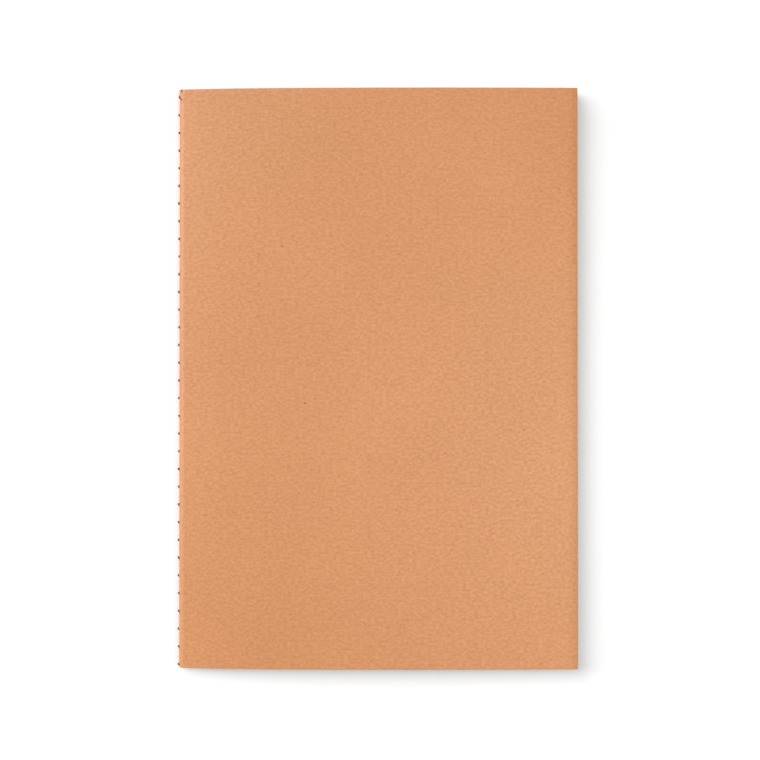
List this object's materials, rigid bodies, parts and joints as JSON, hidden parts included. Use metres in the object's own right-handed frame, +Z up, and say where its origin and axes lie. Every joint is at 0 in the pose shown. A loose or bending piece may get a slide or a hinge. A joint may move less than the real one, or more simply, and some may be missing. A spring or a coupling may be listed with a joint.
{
  "type": "sewn paper notebook",
  "caption": "Thin softcover notebook: plain kraft card cover round one section of folded sheets, sewn through the fold with dark thread, opening flat at its centre spread.",
  "frame": {"origin": "under the middle of the closed notebook, on the surface its back cover lies on", "axes": "+X from the sewn spine to the fore edge, +Y along the spine towards the head, +Z up through the closed book"},
  "size_m": [0.145, 0.21, 0.0089],
  "materials": {
    "cover_card": "uncoated brown kraft card, fine fibre grain with dark and light flecks",
    "page_paper": "uncoated off-white book paper",
    "sewing_thread": "dark brown-grey twisted polyester sewing thread"
  },
  "bodies": {
    "rear_half": {"back_cover": "cover_card", "cover_spine": "cover_card", "sheet_folds": "page_paper", "needle_thread": "sewing_thread", "bobbin_thread": "sewing_thread", "sheet_01_rear_leaf": "page_paper", "sheet_02_rear_leaf": "page_paper", "sheet_03_rear_leaf": "page_paper", "sheet_04_rear_leaf": "page_paper", "sheet_05_rear_leaf": "page_paper", "sheet_06_rear_leaf": "page_paper", "sheet_07_rear_leaf": "page_paper", "sheet_08_rear_leaf": "page_paper", "sheet_09_rear_leaf": "page_paper", "sheet_10_rear_leaf": "page_paper", "sheet_11_rear_leaf": "page_paper", "sheet_12_rear_leaf": "page_paper", "sheet_13_rear_leaf": "page_paper", "sheet_14_rear_leaf": "page_paper", "sheet_15_rear_leaf": "page_paper", "sheet_16_rear_leaf": "page_paper", "sheet_17_rear_leaf": "page_paper", "sheet_18_rear_leaf": "page_paper", "sheet_19_rear_leaf": "page_paper", "sheet_20_rear_leaf": "page_paper"},
    "front_cover_panel": {"front_cover": "cover_card"},
    "front_leaf_01": {"sheet_01_front_leaf": "page_paper"},
    "front_leaf_02": {"sheet_02_front_leaf": "page_paper"},
    "front_leaf_03": {"sheet_03_front_leaf": "page_paper"},
    "front_leaf_04": {"sheet_04_front_leaf": "page_paper"},
    "front_leaf_05": {"sheet_05_front_leaf": "page_paper"},
    "front_leaf_06": {"sheet_06_front_leaf": "page_paper"},
    "front_leaf_07": {"sheet_07_front_leaf": "page_paper"},
    "front_leaf_08": {"sheet_08_front_leaf": "page_paper"},
    "front_leaf_09": {"sheet_09_front_leaf": "page_paper"},
    "front_leaf_10": {"sheet_10_front_leaf": "page_paper"},
    "front_leaf_11": {"sheet_11_front_leaf": "page_paper"},
    "front_leaf_12": {"sheet_12_front_leaf": "page_paper"},
    "front_leaf_13": {"sheet_13_front_leaf": "page_paper"},
    "front_leaf_14": {"sheet_14_front_leaf": "page_paper"},
    "front_leaf_15": {"sheet_15_front_leaf": "page_paper"},
    "front_leaf_16": {"sheet_16_front_leaf": "page_paper"},
    "front_leaf_17": {"sheet_17_front_leaf": "page_paper"},
    "front_leaf_18": {"sheet_18_front_leaf": "page_paper"},
    "front_leaf_19": {"sheet_19_front_leaf": "page_paper"},
    "front_leaf_20": {"sheet_20_front_leaf": "page_paper"}
  },
  "joints": [
    {"name": "front_cover_hinge", "type": "hinge", "parent": "rear_half", "child": "front_cover_panel", "pos_m": [-0.0694, 0, 0.00267], "axis": [0, -1, 0], "range_deg": [0, 173], "deforming": ["cover_spine", "sheet_folds", "needle_thread"]},
    {"name": "front_leaf_01_hinge", "type": "hinge", "parent": "rear_half", "child": "front_leaf_01", "pos_m": [-0.0694, 0, 0.00267], "axis": [0, -1, 0], "range_deg": [0, 173], "deforming": ["cover_spine", "sheet_folds", "needle_thread"]},
    {"name": "front_leaf_02_hinge", "type": "hinge", "parent": "rear_half", "child": "front_leaf_02", "pos_m": [-0.0694, 0, 0.00267], "axis": [0, -1, 0], "range_deg": [0, 173], "deforming": ["cover_spine", "sheet_folds", "needle_thread"]},
    {"name": "front_leaf_03_hinge", "type": "hinge", "parent": "rear_half", "child": "front_leaf_03", "pos_m": [-0.0694, 0, 0.00267], "axis": [0, -1, 0], "range_deg": [0, 173], "deforming": ["cover_spine", "sheet_folds", "needle_thread"]},
    {"name": "front_leaf_04_hinge", "type": "hinge", "parent": "rear_half", "child": "front_leaf_04", "pos_m": [-0.0694, 0, 0.00267], "axis": [0, -1, 0], "range_deg": [0, 173], "deforming": ["cover_spine", "sheet_folds", "needle_thread"]},
    {"name": "front_leaf_05_hinge", "type": "hinge", "parent": "rear_half", "child": "front_leaf_05", "pos_m": [-0.0694, 0, 0.00267], "axis": [0, -1, 0], "range_deg": [0, 173], "deforming": ["cover_spine", "sheet_folds", "needle_thread"]},
    {"name": "front_leaf_06_hinge", "type": "hinge", "parent": "rear_half", "child": "front_leaf_06", "pos_m": [-0.0694, 0, 0.00267], "axis": [0, -1, 0], "range_deg": [0, 173], "deforming": ["cover_spine", "sheet_folds", "needle_thread"]},
    {"name": "front_leaf_07_hinge", "type": "hinge", "parent": "rear_half", "child": "front_leaf_07", "pos_m": [-0.0694, 0, 0.00267], "axis": [0, -1, 0], "range_deg": [0, 173], "deforming": ["cover_spine", "sheet_folds", "needle_thread"]},
    {"name": "front_leaf_08_hinge", "type": "hinge", "parent": "rear_half", "child": "front_leaf_08", "pos_m": [-0.0694, 0, 0.00267], "axis": [0, -1, 0], "range_deg": [0, 173], "deforming": ["cover_spine", "sheet_folds", "needle_thread"]},
    {"name": "front_leaf_09_hinge", "type": "hinge", "parent": "rear_half", "child": "front_leaf_09", "pos_m": [-0.0694, 0, 0.00267], "axis": [0, -1, 0], "range_deg": [0, 173], "deforming": ["cover_spine", "sheet_folds", "needle_thread"]},
    {"name": "front_leaf_10_hinge", "type": "hinge", "parent": "rear_half", "child": "front_leaf_10", "pos_m": [-0.0694, 0, 0.00267], "axis": [0, -1, 0], "range_deg": [0, 173], "deforming": ["cover_spine", "sheet_folds", "needle_thread"]},
    {"name": "front_leaf_11_hinge", "type": "hinge", "parent": "rear_half", "child": "front_leaf_11", "pos_m": [-0.0694, 0, 0.00267], "axis": [0, -1, 0], "range_deg": [0, 173], "deforming": ["cover_spine", "sheet_folds", "needle_thread"]},
    {"name": "front_leaf_12_hinge", "type": "hinge", "parent": "rear_half", "child": "front_leaf_12", "pos_m": [-0.0694, 0, 0.00267], "axis": [0, -1, 0], "range_deg": [0, 173], "deforming": ["cover_spine", "sheet_folds", "needle_thread"]},
    {"name": "front_leaf_13_hinge", "type": "hinge", "parent": "rear_half", "child": "front_leaf_13", "pos_m": [-0.0694, 0, 0.00267], "axis": [0, -1, 0], "range_deg": [0, 173], "deforming": ["cover_spine", "sheet_folds", "needle_thread"]},
    {"name": "front_leaf_14_hinge", "type": "hinge", "parent": "rear_half", "child": "front_leaf_14", "pos_m": [-0.0694, 0, 0.00267], "axis": [0, -1, 0], "range_deg": [0, 173], "deforming": ["cover_spine", "sheet_folds", "needle_thread"]},
    {"name": "front_leaf_15_hinge", "type": "hinge", "parent": "rear_half", "child": "front_leaf_15", "pos_m": [-0.0694, 0, 0.00267], "axis": [0, -1, 0], "range_deg": [0, 173], "deforming": ["cover_spine", "sheet_folds", "needle_thread"]},
    {"name": "front_leaf_16_hinge", "type": "hinge", "parent": "rear_half", "child": "front_leaf_16", "pos_m": [-0.0694, 0, 0.00267], "axis": [0, -1, 0], "range_deg": [0, 173], "deforming": ["cover_spine", "sheet_folds", "needle_thread"]},
    {"name": "front_leaf_17_hinge", "type": "hinge", "parent": "rear_half", "child": "front_leaf_17", "pos_m": [-0.0694, 0, 0.00267], "axis": [0, -1, 0], "range_deg": [0, 173], "deforming": ["cover_spine", "sheet_folds", "needle_thread"]},
    {"name": "front_leaf_18_hinge", "type": "hinge", "parent": "rear_half", "child": "front_leaf_18", "pos_m": [-0.0694, 0, 0.00267], "axis": [0, -1, 0], "range_deg": [0, 173], "deforming": ["cover_spine", "sheet_folds", "needle_thread"]},
    {"name": "front_leaf_19_hinge", "type": "hinge", "parent": "rear_half", "child": "front_leaf_19", "pos_m": [-0.0694, 0, 0.00267], "axis": [0, -1, 0], "range_deg": [0, 173], "deforming": ["cover_spine", "sheet_folds", "needle_thread"]},
    {"name": "front_leaf_20_hinge", "type": "hinge", "parent": "rear_half", "child": "front_leaf_20", "pos_m": [-0.0694, 0, 0.00267], "axis": [0, -1, 0], "range_deg": [0, 173], "deforming": ["cover_spine", "sheet_folds", "needle_thread"]}
  ],
  "couplings": [
    {"joint": "front_leaf_01_hinge", "follows": "front_cover_hinge", "ratio": 0.99},
    {"joint": "front_leaf_02_hinge", "follows": "front_cover_hinge", "ratio": 0.9888},
    {"joint": "front_leaf_03_hinge", "follows": "front_cover_hinge", "ratio": 0.9866},
    {"joint": "front_leaf_04_hinge", "follows": "front_cover_hinge", "ratio": 0.9837},
    {"joint": "front_leaf_05_hinge", "follows": "front_cover_hinge", "ratio": 0.9803},
    {"joint": "front_leaf_06_hinge", "follows": "front_cover_hinge", "ratio": 0.9765},
    {"joint": "front_leaf_07_hinge", "follows": "front_cover_hinge", "ratio": 0.9723},
    {"joint": "front_leaf_08_hinge", "follows": "front_cover_hinge", "ratio": 0.9676},
    {"joint": "front_leaf_09_hinge", "follows": "front_cover_hinge", "ratio": 0.9627},
    {"joint": "front_leaf_10_hinge", "follows": "front_cover_hinge", "ratio": 0.9574},
    {"joint": "front_leaf_11_hinge", "follows": "front_cover_hinge", "ratio": 0.9518},
    {"joint": "front_leaf_12_hinge", "follows": "front_cover_hinge", "ratio": 0.9459},
    {"joint": "front_leaf_13_hinge", "follows": "front_cover_hinge", "ratio": 0.9398},
    {"joint": "front_leaf_14_hinge", "follows": "front_cover_hinge", "ratio": 0.9334},
    {"joint": "front_leaf_15_hinge", "follows": "front_cover_hinge", "ratio": 0.9267},
    {"joint": "front_leaf_16_hinge", "follows": "front_cover_hinge", "ratio": 0.9199},
    {"joint": "front_leaf_17_hinge", "follows": "front_cover_hinge", "ratio": 0.9127},
    {"joint": "front_leaf_18_hinge", "follows": "front_cover_hinge", "ratio": 0.9054},
    {"joint": "front_leaf_19_hinge", "follows": "front_cover_hinge", "ratio": 0.8978},
    {"joint": "front_leaf_20_hinge", "follows": "front_cover_hinge", "ratio": 0.89}
  ]
}
